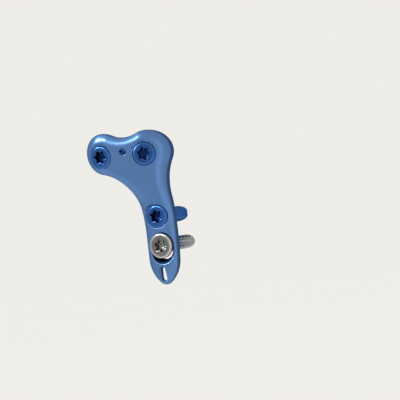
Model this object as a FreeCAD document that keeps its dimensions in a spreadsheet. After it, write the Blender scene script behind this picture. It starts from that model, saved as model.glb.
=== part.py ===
import FreeCAD, Part
import Sketcher
import math
import os
import re

# A small bone plate for the inner side of the upper shin bone, with its four screws in place.
#
# The plate is one milled and anodised titanium piece: a two-lobed head on a tapering neck and a
# narrow shaft with a bullet-shaped tip. It is curved round the bone, the crest of the curve moves
# back in the head, and the outer rim is bevelled. It has three tapered locking holes, one oblong
# compression hole, a round guide-wire hole in the head and a guide-wire slot in the tip.
# Three locking screws have tapered heads that seat in the plate. The cortex screw has a head
# with a round underside, which lies in the upper end of the compression hole.
#
# Frame, in millimetres: the origin is on the shaft locking screw's axis, at the plate's bone
# side. +Z runs up the shaft to the head, -Y points out of the plate and +Y into the bone. The
# front of the shin, where the head's anterior lobe lies, is towards +X.

SIZES = {
    # Thickness and curvature of the plate
    "plate_thickness": 2.8,
    "bone_radius": 47.2,
    "crest_shift": 16.0,
    "turn_start": -6.0,
    "turn_end": 14.0,
    "flare_degrees": 6.0,
    "tip_thinning": 0.8,
    "tip_thin_start": -13.0,
    "tip_thin_length": 10.0,
    # Outline, seen from the front
    "posterior_lobe_x": -14.1,
    "posterior_lobe_z": 21.3,
    "posterior_lobe_radius": 6.55,
    "anterior_lobe_x": 0.55,
    "anterior_lobe_z": 20.65,
    "anterior_lobe_radius": 6.7,
    "waist_radius": 9.6,
    "neck_front_radius": 21.3,
    "neck_back_radius": 28.3,
    "neck_back_start": 1.2,
    "armpit_radius": 13.4,
    "shaft_x": 0.1,
    "shaft_half_width": 5.45,
    "belly_radius": 97.5,
    "belly_z": -6.4,
    "tip_side_radius": 9.75,
    "tip_radius": 2.8,
    "tip_x": -0.3,
    "tip_z": -18.95,
    # Rim of the plate
    "bevel_width": 2.2,
    "bevel_depth": 1.0,
    "bone_edge_bevel": 0.3,
    # Places and directions of the holes
    "posterior_hole_back": 0.75,
    "posterior_hole_drop": 0.8,
    "posterior_hole_turn": 1.0,
    "posterior_hole_tilt": 4.0,
    "anterior_hole_back": 0.8,
    "anterior_hole_drop": 0.65,
    "anterior_hole_turn": 17.0,
    "anterior_hole_tilt": 1.0,
    "slot_x": 0.6,
    "slot_z": -9.3,
    "slot_travel": 1.8,
    "wire_hole_x": -6.95,
    "wire_hole_z": 21.3,
    "wire_hole_turn": 9.0,
    "wire_hole_tilt": 5.0,
    "wire_hole_radius": 1.2,
    "wire_slot_x": -0.35,
    "wire_slot_z": -18.25,
    "wire_slot_length": 4.7,
    "wire_slot_half_width": 1.15,
    # Locking screws, and the tapered holes that take their heads
    "lock_head_radius": 3.75,
    "lock_head_bevel": 0.5,
    "lock_head_rise": 0.25,
    "lock_taper_start": 0.7,
    "lock_taper_degrees": 18.0,
    "lock_head_end": 2.6,
    "lock_neck_radius": 2.15,
    "lock_thread_radius": 2.5,
    "lock_mouth_radius": 4.3,
    "lock_mouth_depth": 0.1,
    "posterior_screw_length": 26.0,
    "anterior_screw_length": 26.0,
    "shaft_screw_length": 18.0,
    "posterior_star_degrees": 53.0,
    "anterior_star_degrees": 43.0,
    "shaft_star_degrees": 42.0,
    # Cortex screw, and the compression hole that takes its head
    "ball_radius": 4.2,
    "ball_centre_rise": 1.1,
    "cortex_head_radius": 4.0,
    "cortex_head_rise": 0.85,
    "cortex_head_bevel": 0.45,
    "cortex_neck_radius": 1.6,
    "cortex_thread_radius": 2.25,
    "cortex_screw_length": 20.0,
    "cortex_star_degrees": 40.0,
    "slot_half_width": 2.6,
    # What all four screws share
    "seat_clearance": 0.02,
    "neck_length": 0.5,
    "point_length": 4.0,
    "point_radius_loss": 0.35,
    "nose_length": 1.6,
    "nose_radius": 0.6,
    "flute_length": 5.0,
    "flute_radius": 1.0,
    "flute_offset": 0.25,
    # Star recesses in the heads
    "star_radius": 2.2,
    "star_lobe_height": 0.62,
    "star_lobe_round": 0.33,
    "star_depth": 2.0,
}

SECTION_COUNT = 12
LOBE_COUNT = 6
FLUTE_COUNT = 3
# How far a cutting shape, or the slab that the outline is cut from, runs past what it cuts
CUT_REACH = 3.0
SLAB_MARGIN = 4.0

WHOLE_TURN = 360.0
START, END, CENTRE = range(1, 4)

doc = FreeCAD.newDocument("BonePlate")
sheet = doc.addObject("Spreadsheet::Sheet", "Sizes")
for row, (alias, size) in enumerate(SIZES.items(), start=1):
    sheet.set(f"A{row}", alias)
    sheet.set(f"B{row}", str(size))
    sheet.setAlias(f"B{row}", alias)
doc.recompute()


def formula(text):
    """The expression that a formula in the sheet's own words stands for."""
    def spelled(match):
        word = match.group(0)
        return f"Sizes.{word}" if word in SIZES else word
    return re.sub(r"[a-z_]+", spelled, str(text))


def worth(text):
    """The number that a formula comes to."""
    return float(sheet.evalExpression(formula(text)))


# The curved surfaces of the plate. At height z both faces are arcs round one centre, and the
# crest of the arcs moves back and the whole section moves out as z rises through the neck.

def eased(share):
    """0 up to a share of 0 and 1 from a share of 1, with a smooth S between."""
    held = f"min(max({share}; 0); 1)"
    return f"(pow({held}; 2) * (3 - 2 * {held}))"


def turned(z):
    return eased(f"(({z}) - turn_start) / (turn_end - turn_start)")


def crest_x(z):
    return f"(-crest_shift * {turned(z)})"


def bone_face_radius(z):
    return "bone_radius"


def outer_face_radius(z):
    thinned = eased(f"(tip_thin_start - ({z})) / tip_thin_length")
    return f"(bone_radius + plate_thickness - tip_thinning * {thinned})"


def curve_centre_y(z):
    flare = f"tan(flare_degrees) * max(({z}) - turn_start; 0) * {turned(z)}"
    return f"(sqrt(pow(bone_radius; 2) - pow({crest_x(z)}; 2)) - {flare})"


def face_y(radius, x, z):
    return f"({curve_centre_y(z)} - sqrt(pow({radius(z)}; 2) - pow(({x}) - {crest_x(z)}; 2)))"


# Sketching

def new_body(label):
    body = doc.addObject("PartDesign::Body", label)
    body.Label = label
    return body


def new_sketch(body, name, plane, place):
    """A sketch on one of the body's own planes, moved by an expression for its offset."""
    sketch = body.newObject("Sketcher::SketchObject", name)
    support = [feature for feature in body.Origin.OriginFeatures if feature.Role == plane]
    sketch.AttachmentSupport = (support[0], [""])
    sketch.MapMode = "FlatFace"
    sketch.setExpression("AttachmentOffset", formula(place))
    return sketch


def placed(x, y, z, turn=0, tilt=0):
    """Move by (x, y, z), after a tilt about X and a turn about Z, in degrees."""
    moved = f"create(<<vector>>; {x}; {y}; {z})"
    rotated = f"create(<<rotation>>; {turn}; 0; {tilt})"
    return f"create(<<placement>>; {moved}; {rotated})"


def bind(sketch, kind, where, text):
    """A dimension of the sketch that follows a formula."""
    index = sketch.addConstraint(Sketcher.Constraint(kind, *where, worth(text)))
    sketch.setExpression(f"Constraints[{index}]", formula(text))


def arc_between(centre, radius, first, last, leftward):
    """The arc from one point to another, and which of its ends comes first."""
    begin = math.atan2(first[1] - centre[1], first[0] - centre[0])
    finish = math.atan2(last[1] - centre[1], last[0] - centre[0])
    ends = (START, END)
    if not leftward:
        begin, finish = finish, begin
        ends = (END, START)
    if finish < begin:
        finish += 2 * math.pi
    circle = Part.Circle(FreeCAD.Vector(*centre, 0), FreeCAD.Vector(0, 0, 1), radius)
    return Part.ArcOfCircle(circle, begin, finish), ends


def draw_loop(sketch, corners):
    """A closed loop through corners (x, y, side). The side is None where a straight line goes on
    to the next corner, or (radius, leftward) where an arc does."""
    base = sketch.GeometryCount
    count = len(corners)
    points = [(worth(x), worth(y)) for x, y, side in corners]
    ends = []
    for index, (x, y, side) in enumerate(corners):
        first, last = points[index], points[(index + 1) % count]
        if side is None:
            edge = Part.LineSegment(FreeCAD.Vector(*first, 0), FreeCAD.Vector(*last, 0))
            ends.append((START, END))
        else:
            radius, leftward = worth(side[0]), side[1]
            along = (last[0] - first[0], last[1] - first[1])
            chord = math.hypot(*along)
            rise = math.sqrt(radius ** 2 - chord ** 2 / 4) * (1 if leftward else -1)
            centre = (
                (first[0] + last[0]) / 2 - along[1] / chord * rise,
                (first[1] + last[1]) / 2 + along[0] / chord * rise,
            )
            edge, arc_ends = arc_between(centre, radius, first, last, leftward)
            ends.append(arc_ends)
        sketch.addGeometry(edge, False)
    for index, (x, y, side) in enumerate(corners):
        edge, after = base + index, (index + 1) % count
        sketch.addConstraint(
            Sketcher.Constraint("Coincident", edge, ends[index][1], base + after, ends[after][0])
        )
        bind(sketch, "DistanceX", (edge, ends[index][0]), x)
        bind(sketch, "DistanceY", (edge, ends[index][0]), y)
        if side is not None:
            bind(sketch, "Radius", (edge,), side[0])


def draw_slot(sketch, half_width, low, high):
    """An upright slot with round ends, whose end centres are at x = 0."""
    radius, bottom, top = worth(half_width), worth(low), worth(high)
    upper, ends = arc_between((0, top), radius, (radius, top), (-radius, top), True)
    lower, ends = arc_between((0, bottom), radius, (-radius, bottom), (radius, bottom), True)
    left = Part.LineSegment(
        FreeCAD.Vector(-radius, top, 0), FreeCAD.Vector(-radius, bottom, 0)
    )
    right = Part.LineSegment(
        FreeCAD.Vector(radius, bottom, 0), FreeCAD.Vector(radius, top, 0)
    )
    for edge in (upper, left, lower, right):
        sketch.addGeometry(edge, False)
    for index in range(4):
        sketch.addConstraint(
            Sketcher.Constraint("Tangent", index, END, (index + 1) % 4, START)
        )
    sketch.addConstraint(Sketcher.Constraint("Equal", 0, 2))
    bind(sketch, "Radius", (0,), half_width)
    bind(sketch, "DistanceX", (0, CENTRE), 0)
    bind(sketch, "DistanceY", (0, CENTRE), high)
    bind(sketch, "DistanceX", (2, CENTRE), 0)
    bind(sketch, "DistanceY", (2, CENTRE), low)


# Features

def cut_by_turning(body, sketch):
    groove = body.newObject("PartDesign::Groove", sketch.Name + "_cut")
    groove.Profile = sketch
    groove.ReferenceAxis = (sketch, ["V_Axis"])
    groove.Angle = WHOLE_TURN
    doc.recompute()


def cut_through(body, sketch):
    pocket = body.newObject("PartDesign::Pocket", sketch.Name + "_cut")
    pocket.Profile = sketch
    pocket.Type = "ThroughAll"
    doc.recompute()


def dress_edges(body, kind, name, edges, sizes):
    """A fillet or chamfer on some edges of the body's newest shape."""
    base = body.Tip
    names = [
        f"Edge{index}"
        for index, edge in enumerate(base.Shape.Edges, start=1)
        if any(edge.isSame(wanted) for wanted in edges)
    ]
    feature = body.newObject(kind, name)
    feature.Base = (base, names)
    if "Size2" in sizes:
        feature.ChamferType = "Two distances"
    for size, text in sizes.items():
        feature.setExpression(size, formula(text))
    doc.recompute()
    return feature


def belongs(edge, face):
    return any(edge.isSame(other) for other in face.Edges)


def outer_and_bone_faces(shape):
    """The plate's two large faces: the outer one first, then the one on the bone."""
    largest = sorted(shape.Faces, key=lambda face: -face.Area)[:2]
    return sorted(largest, key=lambda face: face.CenterOfMass.y)


# The outline of the plate

def crossing(centre_a, radius_a, centre_b, radius_b, choose):
    """The crossing of two circles that is highest by the given measure."""
    dx, dy = centre_b[0] - centre_a[0], centre_b[1] - centre_a[1]
    apart = math.hypot(dx, dy)
    along = (radius_a ** 2 - radius_b ** 2 + apart ** 2) / (2 * apart)
    aside = math.sqrt(radius_a ** 2 - along ** 2)
    middle = (centre_a[0] + along * dx / apart, centre_a[1] + along * dy / apart)
    both = [
        (middle[0] - side * aside * dy / apart, middle[1] + side * aside * dx / apart)
        for side in (-1, 1)
    ]
    return max(both, key=choose)


def towards(centre, distance, target):
    """The point at a distance from a centre, on the line to a target."""
    dx, dy = target[0] - centre[0], target[1] - centre[1]
    apart = math.hypot(dx, dy)
    return (centre[0] + distance * dx / apart, centre[1] + distance * dy / apart)


def highest(point):
    return point[1]


def lowest(point):
    return -point[1]


def rightmost(point):
    return point[0]


def draw_outline(sketch):
    """The outline, clockwise from the armpit below the posterior lobe: arcs that run into each
    other, and one straight stretch up the back of the shaft."""
    posterior = (worth("posterior_lobe_x"), worth("posterior_lobe_z"))
    anterior = (worth("anterior_lobe_x"), worth("anterior_lobe_z"))
    tip = (worth("tip_x"), worth("tip_z"))
    r_posterior, r_anterior = worth("posterior_lobe_radius"), worth("anterior_lobe_radius")
    r_waist, r_front = worth("waist_radius"), worth("neck_front_radius")
    r_belly = worth("belly_radius")
    r_side, r_tip = worth("tip_side_radius"), worth("tip_radius")
    r_back, r_armpit = worth("neck_back_radius"), worth("armpit_radius")
    left, right = worth("shaft_x - shaft_half_width"), worth("shaft_x + shaft_half_width")

    belly = (right - r_belly, worth("belly_z"))
    waist = crossing(posterior, r_posterior + r_waist, anterior, r_anterior + r_waist, highest)
    front = crossing(anterior, r_anterior + r_front, belly, r_belly + r_front, lowest)
    front_side = crossing(belly, r_belly - r_side, tip, r_side - r_tip, highest)
    back_side_x = left + r_side
    back_side_rise = math.sqrt((r_side - r_tip) ** 2 - (back_side_x - tip[0]) ** 2)
    back_side = (back_side_x, tip[1] + back_side_rise)
    back = (left - r_back, worth("neck_back_start"))
    armpit = crossing(back, r_back - r_armpit, posterior, r_posterior + r_armpit, rightmost)

    joints = [
        towards(posterior, r_posterior, armpit),
        towards(posterior, r_posterior, waist),
        towards(anterior, r_anterior, waist),
        towards(anterior, r_anterior, front),
        towards(belly, r_belly, front),
        towards(belly, r_belly, front_side),
        towards(tip, -r_tip, front_side),
        towards(tip, -r_tip, back_side),
        (left, back_side[1]),
        (left, back[1]),
        towards(back, r_back, armpit),
    ]
    arcs = [
        (posterior, r_posterior, False),
        (waist, r_waist, True),
        (anterior, r_anterior, False),
        (front, r_front, True),
        (belly, r_belly, False),
        (front_side, r_side, False),
        (tip, r_tip, False),
        (back_side, r_side, False),
        None,
        (back, r_back, True),
        (armpit, r_armpit, True),
    ]
    count = len(arcs)
    ends = []
    for index, arc in enumerate(arcs):
        first, last = joints[index], joints[(index + 1) % count]
        if arc is None:
            edge = Part.LineSegment(FreeCAD.Vector(*first, 0), FreeCAD.Vector(*last, 0))
            ends.append((START, END))
        else:
            edge, arc_ends = arc_between(arc[0], arc[1], first, last, arc[2])
            ends.append(arc_ends)
        sketch.addGeometry(edge, False)
    for index in range(count):
        after = (index + 1) % count
        sketch.addConstraint(
            Sketcher.Constraint("Tangent", index, ends[index][1], after, ends[after][0])
        )
    (
        POSTERIOR, WAIST, ANTERIOR, FRONT, BELLY, FRONT_SIDE, TIP, BACK_SIDE, STRAIGHT, BACK, ARMPIT
    ) = range(count)
    radii = {
        POSTERIOR: "posterior_lobe_radius",
        WAIST: "waist_radius",
        ANTERIOR: "anterior_lobe_radius",
        FRONT: "neck_front_radius",
        BELLY: "belly_radius",
        FRONT_SIDE: "tip_side_radius",
        TIP: "tip_radius",
        BACK_SIDE: "tip_side_radius",
        BACK: "neck_back_radius",
        ARMPIT: "armpit_radius",
    }
    for index, text in radii.items():
        bind(sketch, "Radius", (index,), text)
    bind(sketch, "DistanceX", (POSTERIOR, CENTRE), "posterior_lobe_x")
    bind(sketch, "DistanceY", (POSTERIOR, CENTRE), "posterior_lobe_z")
    bind(sketch, "DistanceX", (ANTERIOR, CENTRE), "anterior_lobe_x")
    bind(sketch, "DistanceY", (ANTERIOR, CENTRE), "anterior_lobe_z")
    bind(sketch, "DistanceX", (BELLY, CENTRE), "shaft_x + shaft_half_width - belly_radius")
    bind(sketch, "DistanceY", (BELLY, CENTRE), "belly_z")
    bind(sketch, "DistanceX", (TIP, CENTRE), "tip_x")
    bind(sketch, "DistanceY", (TIP, CENTRE), "tip_z")
    bind(sketch, "DistanceX", (STRAIGHT, START), "shaft_x - shaft_half_width")
    bind(sketch, "DistanceY", (BACK, CENTRE), "neck_back_start")
    sketch.addConstraint(Sketcher.Constraint("Vertical", STRAIGHT))


# Where each hole meets the plate's outer face, and which way its axis runs

def seat(x, z, turn=0, tilt=0):
    return placed(x, face_y(outer_face_radius, x, z), z, turn, tilt)


SEATS = {
    "posterior": seat(
        "(posterior_lobe_x - posterior_hole_back)",
        "(posterior_lobe_z - posterior_hole_drop)",
        "posterior_hole_turn",
        "posterior_hole_tilt",
    ),
    "anterior": seat(
        "(anterior_lobe_x - anterior_hole_back)",
        "(anterior_lobe_z - anterior_hole_drop)",
        "anterior_hole_turn",
        "anterior_hole_tilt",
    ),
    "shaft": seat(0, 0),
    "cortex": seat("slot_x", "slot_z"),
    "wire": seat("wire_hole_x", "wire_hole_z", "wire_hole_turn", "wire_hole_tilt"),
}


# The plate: a curved slab, cut to its outline, bevelled, and drilled

SLAB_LOW = f"(tip_z - tip_radius - {SLAB_MARGIN})"
SLAB_HIGH = (
    "(max(posterior_lobe_z + posterior_lobe_radius; anterior_lobe_z + anterior_lobe_radius)"
    f" + {SLAB_MARGIN})"
)
SLAB_LEFT = f"(posterior_lobe_x - posterior_lobe_radius - {SLAB_MARGIN})"
SLAB_RIGHT = (
    "(max(anterior_lobe_x + anterior_lobe_radius; shaft_x + shaft_half_width)"
    f" + {SLAB_MARGIN})"
)

plate = new_body("bone_plate")
sections = []
for index in range(SECTION_COUNT):
    z = f"({SLAB_LOW} + ({SLAB_HIGH} - {SLAB_LOW}) * {index} / {SECTION_COUNT - 1})"
    section = new_sketch(plate, f"section_{index + 1}", "XY_Plane", placed(0, 0, z))
    draw_loop(section, [
        (SLAB_LEFT, face_y(outer_face_radius, SLAB_LEFT, z), (outer_face_radius(z), True)),
        (SLAB_RIGHT, face_y(outer_face_radius, SLAB_RIGHT, z), None),
        (SLAB_RIGHT, face_y(bone_face_radius, SLAB_RIGHT, z), (bone_face_radius(z), False)),
        (SLAB_LEFT, face_y(bone_face_radius, SLAB_LEFT, z), None),
    ])
    sections.append(section)
slab = plate.newObject("PartDesign::AdditiveLoft", "slab")
slab.Profile = sections[0]
slab.Sections = sections[1:]
doc.recompute()

block = new_body("outline_block")
outline = new_sketch(block, "outline", "XZ_Plane", placed(0, 0, 0))
draw_outline(outline)
block_pad = block.newObject("PartDesign::Pad", "outline_pad")
block_pad.Profile = outline
block_pad.Midplane = True
block_pad.setExpression("Length", formula("2 * bone_radius"))
doc.recompute()
cut_out = plate.newObject("PartDesign::Boolean", "cut_out")
cut_out.Type = "Common"
cut_out.setObjects([block])
doc.recompute()

outer, bone_side = outer_and_bone_faces(plate.Tip.Shape)
rim = [edge for edge in plate.Tip.Shape.Edges if belongs(edge, outer)]
dress_edges(
    plate, "PartDesign::Chamfer", "bevel", rim, {"Size": "bevel_width", "Size2": "bevel_depth"}
)
outer, bone_side = outer_and_bone_faces(plate.Tip.Shape)
bone_rim = [edge for edge in plate.Tip.Shape.Edges if belongs(edge, bone_side)]
dress_edges(plate, "PartDesign::Chamfer", "bone_edge", bone_rim, {"Size": "bone_edge_bevel"})

# The tapered locking holes: a mouth wider than the head, then the seat for the head's taper
SEAT_GAP = "seat_clearance / cos(lock_taper_degrees)"
HOLE_END = f"(plate_thickness + {CUT_REACH})"
SEAT_SLOPE = "tan(lock_taper_degrees)"
for name in ("posterior", "anterior", "shaft"):
    hole = new_sketch(plate, f"{name}_hole", "XY_Plane", SEATS[name])
    draw_loop(hole, [
        (0, -CUT_REACH, None),
        ("lock_mouth_radius", -CUT_REACH, None),
        ("lock_mouth_radius", "lock_mouth_depth", None),
        (f"lock_head_radius + {SEAT_GAP}", "lock_taper_start", None),
        (
            f"lock_head_radius + {SEAT_GAP} - ({HOLE_END} - lock_taper_start) * {SEAT_SLOPE}",
            HOLE_END,
            None,
        ),
        (0, HOLE_END, None),
    ])
    cut_by_turning(plate, hole)

# The compression hole: a trough swept by a ball, and a slot through its floor
TROUGH_RADIUS = "(ball_radius + seat_clearance)"
trough_y = face_y(outer_face_radius, "slot_x", "slot_z") + " - ball_centre_rise"
trough = new_sketch(plate, "trough", "XZ_Plane", placed("slot_x", "slot_z", f"-({trough_y})"))
draw_loop(trough, [
    (0, f"-slot_travel - {TROUGH_RADIUS}", (TROUGH_RADIUS, True)),
    (TROUGH_RADIUS, "-slot_travel", None),
    (TROUGH_RADIUS, 0, (TROUGH_RADIUS, True)),
    (0, TROUGH_RADIUS, None),
])
cut_by_turning(plate, trough)
slot = new_sketch(plate, "slot", "XZ_Plane", placed("slot_x", "slot_z", f"-({trough_y})"))
draw_slot(slot, "slot_half_width", "-slot_travel", 0)
cut_through(plate, slot)

# The ways for the guide wires
wire_hole = new_sketch(plate, "wire_hole", "XY_Plane", SEATS["wire"])
draw_loop(wire_hole, [
    (0, -CUT_REACH, None),
    ("wire_hole_radius", -CUT_REACH, None),
    ("wire_hole_radius", HOLE_END, None),
    (0, HOLE_END, None),
])
cut_by_turning(plate, wire_hole)
wire_slot = new_sketch(
    plate, "wire_slot", "XZ_Plane", placed("wire_slot_x", "wire_slot_z", f"-({trough_y})")
)
WIRE_SLOT_END = "(wire_slot_length / 2 - wire_slot_half_width)"
draw_slot(wire_slot, "wire_slot_half_width", f"-{WIRE_SLOT_END}", WIRE_SLOT_END)
cut_through(plate, wire_slot)


# The screws. Each is drawn about its own axis, +Y into the bone, from where that axis meets the
# plate's outer face, and then moved to its hole.

STAR_ROOT = "(star_radius - star_lobe_height)"


def draw_star(sketch):
    """Six round lobes joined by round valleys, each arc running into the next."""
    reach = "(star_radius - star_lobe_round)"
    across = f"({reach} * cos(180 / {LOBE_COUNT}))"
    valley = (
        f"((pow({reach}; 2) + pow({STAR_ROOT}; 2) - 2 * {across} * {STAR_ROOT}"
        f" - pow(star_lobe_round; 2)) / (2 * (star_lobe_round - {STAR_ROOT} + {across})))"
    )
    share = f"(star_lobe_round / (star_lobe_round + {valley}))"
    valley_x = f"(({STAR_ROOT} + {valley}) * cos(180 / {LOBE_COUNT}))"
    valley_y = f"(({STAR_ROOT} + {valley}) * sin(180 / {LOBE_COUNT}))"
    joint_x = f"({reach} + ({valley_x} - {reach}) * {share})"
    joint_y = f"({valley_y} * {share})"
    corners = []
    for lobe in range(LOBE_COUNT):
        angle = WHOLE_TURN * lobe / LOBE_COUNT
        for side, radius, leftward in ((-1, "star_lobe_round", True), (1, valley, False)):
            corners.append((
                f"{joint_x} * cos({angle}) - {side} * {joint_y} * sin({angle})",
                f"{joint_x} * sin({angle}) + {side} * {joint_y} * cos({angle})",
                (radius, leftward),
            ))
    draw_loop(sketch, corners)


LOCK_TAPER_FOOT = (
    "(lock_head_radius - (lock_head_end - lock_taper_start) * tan(lock_taper_degrees))"
)
LOCK_HEAD = [
    (0, "-lock_head_rise", None),
    ("lock_head_radius - lock_head_bevel", "-lock_head_rise", None),
    ("lock_head_radius", "lock_head_bevel - lock_head_rise", None),
    ("lock_head_radius", "lock_taper_start", None),
    (LOCK_TAPER_FOOT, "lock_head_end", None),
    ("lock_neck_radius", f"lock_head_end + {LOCK_TAPER_FOOT} - lock_neck_radius", None),
]
CORTEX_HEAD = [
    (0, "-cortex_head_rise", None),
    ("cortex_head_radius - cortex_head_bevel", "-cortex_head_rise", None),
    ("cortex_head_radius", "cortex_head_bevel - cortex_head_rise", None),
    (
        "cortex_head_radius",
        "(sqrt(pow(ball_radius; 2) - pow(cortex_head_radius; 2)) - ball_centre_rise)",
        ("ball_radius", True),
    ),
    (
        "cortex_neck_radius",
        "(sqrt(pow(ball_radius; 2) - pow(cortex_neck_radius; 2)) - ball_centre_rise)",
        None,
    ),
]


def shank(head_foot, neck_radius, thread_radius, length):
    """Half of a screw from its neck to the nose, and back to the axis."""
    thread_start = f"{head_foot} + neck_length + {thread_radius} - {neck_radius}"
    return [
        (neck_radius, f"{head_foot} + neck_length", None),
        (thread_radius, thread_start, None),
        (thread_radius, f"{length} - point_length", None),
        (f"{thread_radius} - point_radius_loss", f"{length} - nose_length", None),
        ("nose_radius", length, None),
        (0, length, None),
    ]


def make_screw(name, label, head, neck_radius, thread_radius, head_rise, length, star_degrees):
    screw = new_body(label)
    profile = new_sketch(screw, f"{label}_profile", "XY_Plane", placed(0, 0, 0))
    head_foot = head[-1][1]
    draw_loop(profile, head + shank(head_foot, neck_radius, thread_radius, length))
    turned_blank = screw.newObject("PartDesign::Revolution", f"{label}_blank")
    turned_blank.Profile = profile
    turned_blank.ReferenceAxis = (profile, ["V_Axis"])
    turned_blank.Angle = WHOLE_TURN
    doc.recompute()

    star = new_sketch(screw, f"{label}_star", "XZ_Plane", placed(0, 0, head_rise, star_degrees))
    draw_star(star)
    recess = screw.newObject("PartDesign::Pocket", f"{label}_recess")
    recess.Profile = star
    recess.Type = "Length"
    recess.setExpression("Length", formula("star_depth"))
    doc.recompute()

    flute_end = new_sketch(screw, f"{label}_flute_end", "XZ_Plane", placed(0, 0, f"-({length})"))
    flute_end.addGeometry(
        Part.Circle(
            FreeCAD.Vector(worth(f"{thread_radius} + flute_offset"), 0, 0),
            FreeCAD.Vector(0, 0, 1),
            worth("flute_radius"),
        ),
        False,
    )
    bind(flute_end, "Radius", (0,), "flute_radius")
    bind(flute_end, "DistanceX", (0, CENTRE), f"{thread_radius} + flute_offset")
    bind(flute_end, "DistanceY", (0, CENTRE), 0)
    flute = screw.newObject("PartDesign::Pocket", f"{label}_flute")
    flute.Profile = flute_end
    flute.Type = "Length"
    flute.Reversed = True
    flute.setExpression("Length", formula("flute_length"))
    doc.recompute()
    flutes = screw.newObject("PartDesign::PolarPattern", f"{label}_flutes")
    flutes.Originals = [flute]
    flutes.Axis = (flute_end, ["N_Axis"])
    flutes.Angle = WHOLE_TURN
    flutes.Occurrences = FLUTE_COUNT
    screw.Tip = flutes
    doc.recompute()
    screw.setExpression("Placement", formula(SEATS[name]))
    return screw


screws = [
    make_screw(
        name,
        f"{name}_locking_screw",
        LOCK_HEAD,
        "lock_neck_radius",
        "lock_thread_radius",
        "lock_head_rise",
        f"{name}_screw_length",
        f"{name}_star_degrees",
    )
    for name in ("posterior", "anterior", "shaft")
]
screws.append(
    make_screw(
        "cortex",
        "cortex_screw",
        CORTEX_HEAD,
        "cortex_neck_radius",
        "cortex_thread_radius",
        "cortex_head_rise",
        "cortex_screw_length",
        "cortex_star_degrees",
    )
)
doc.recompute()

for item in doc.Objects:
    if "Invalid" in item.State or "Error" in item.State:
        raise RuntimeError(f"{item.Label} did not build")
for piece in [plate] + screws:
    if piece.Shape.isNull() or not piece.Shape.isValid():
        raise RuntimeError(f"{piece.Label} has no sound shape")

os.makedirs("parts", exist_ok=True)
for piece in [plate] + screws:
    piece.Shape.exportStep(f"parts/{piece.Label}.step")
    print(piece.Label, "volume", round(piece.Shape.Volume, 1), "cubic millimetres")
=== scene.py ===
import math

import bmesh
import bpy
import numpy as np
from mathutils import Matrix, Vector
from mathutils.geometry import delaunay_2d_cdt


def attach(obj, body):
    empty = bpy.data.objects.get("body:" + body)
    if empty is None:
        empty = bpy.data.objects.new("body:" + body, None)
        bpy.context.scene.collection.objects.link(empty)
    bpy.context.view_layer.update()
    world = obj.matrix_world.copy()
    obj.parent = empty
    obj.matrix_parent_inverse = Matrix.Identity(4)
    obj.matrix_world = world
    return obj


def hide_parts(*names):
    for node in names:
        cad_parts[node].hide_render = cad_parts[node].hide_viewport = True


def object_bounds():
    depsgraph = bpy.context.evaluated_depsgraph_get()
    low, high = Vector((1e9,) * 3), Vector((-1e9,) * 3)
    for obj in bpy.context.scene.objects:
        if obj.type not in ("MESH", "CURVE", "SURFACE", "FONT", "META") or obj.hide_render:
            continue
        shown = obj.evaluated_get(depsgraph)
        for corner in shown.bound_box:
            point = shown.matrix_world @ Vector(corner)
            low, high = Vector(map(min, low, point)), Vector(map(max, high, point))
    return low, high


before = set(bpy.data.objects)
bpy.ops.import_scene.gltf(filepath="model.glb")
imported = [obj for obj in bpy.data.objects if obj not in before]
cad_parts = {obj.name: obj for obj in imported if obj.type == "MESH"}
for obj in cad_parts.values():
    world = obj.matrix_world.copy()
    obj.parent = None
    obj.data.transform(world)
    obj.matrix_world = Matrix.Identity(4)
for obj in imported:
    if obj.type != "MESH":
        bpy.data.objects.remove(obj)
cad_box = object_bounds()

# All shapes are worked out in millimetres and written to their meshes in metres. The origin is on
# the shaft screw's axis at the plate's back, +Z runs up the shaft, and +Y out of the back.

# The plate: one piece of titanium alloy, milled to its outline, curved across its width, bevelled
# all round, then blasted and anodised blue. Where it widens into its two-lobed head, the crest of
# its curve moves back.
MM = 0.001
PLATE_THICKNESS = 2.8
BACK_RADIUS = 47.2
CREST_SHIFT = 16.0
TURN_START, TURN_END = -6.0, 14.0
FLARE_DEGREES = 6.0
TIP_THINNING = 0.8
TIP_THIN_START, TIP_THIN_LENGTH = -13.0, 10.0

POSTERIOR_LOBE, POSTERIOR_LOBE_RADIUS = (-14.1, 21.3), 6.55
ANTERIOR_LOBE, ANTERIOR_LOBE_RADIUS = (0.55, 20.65), 6.7
WAIST_RADIUS = 9.6
NECK_FRONT_RADIUS = 21.3
NECK_BACK_RADIUS, NECK_BACK_START = 28.3, 1.2
ARMPIT_RADIUS = 13.4
SHAFT_X, SHAFT_HALF_WIDTH = 0.1, 5.45
BELLY_RADIUS, BELLY_Z = 97.5, -6.4
TIP, TIP_RADIUS, TIP_SIDE_RADIUS = (-0.3, -18.95), 2.8, 9.75

BEVEL_WIDTH, BEVEL_DEPTH = 2.2, 1.0
BEVEL_TOP_ROUND, BEVEL_FOOT_ROUND, BACK_EDGE_ROUND = 5.0, 0.7, 0.3
OUTLINE_STEP = 0.3
FACE_STEP = 0.8
KEEP_CLEAR = OUTLINE_STEP / 2
RUN_ON = 1.0
SAME_POINT = 1e-7
MERGE_DISTANCE = 0.0005
PLATE_CREASE_DEGREES = 35.0
# Distances between many points are worked out in batches, to spare memory
BATCHES = 8


def eased(share):
    """0 up to a share of 0 and 1 from a share of 1, with 3 s^2 - 2 s^3 between."""
    held = np.clip(share, 0.0, 1.0)
    return held ** 2 * (3.0 - 2.0 * held)


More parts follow.
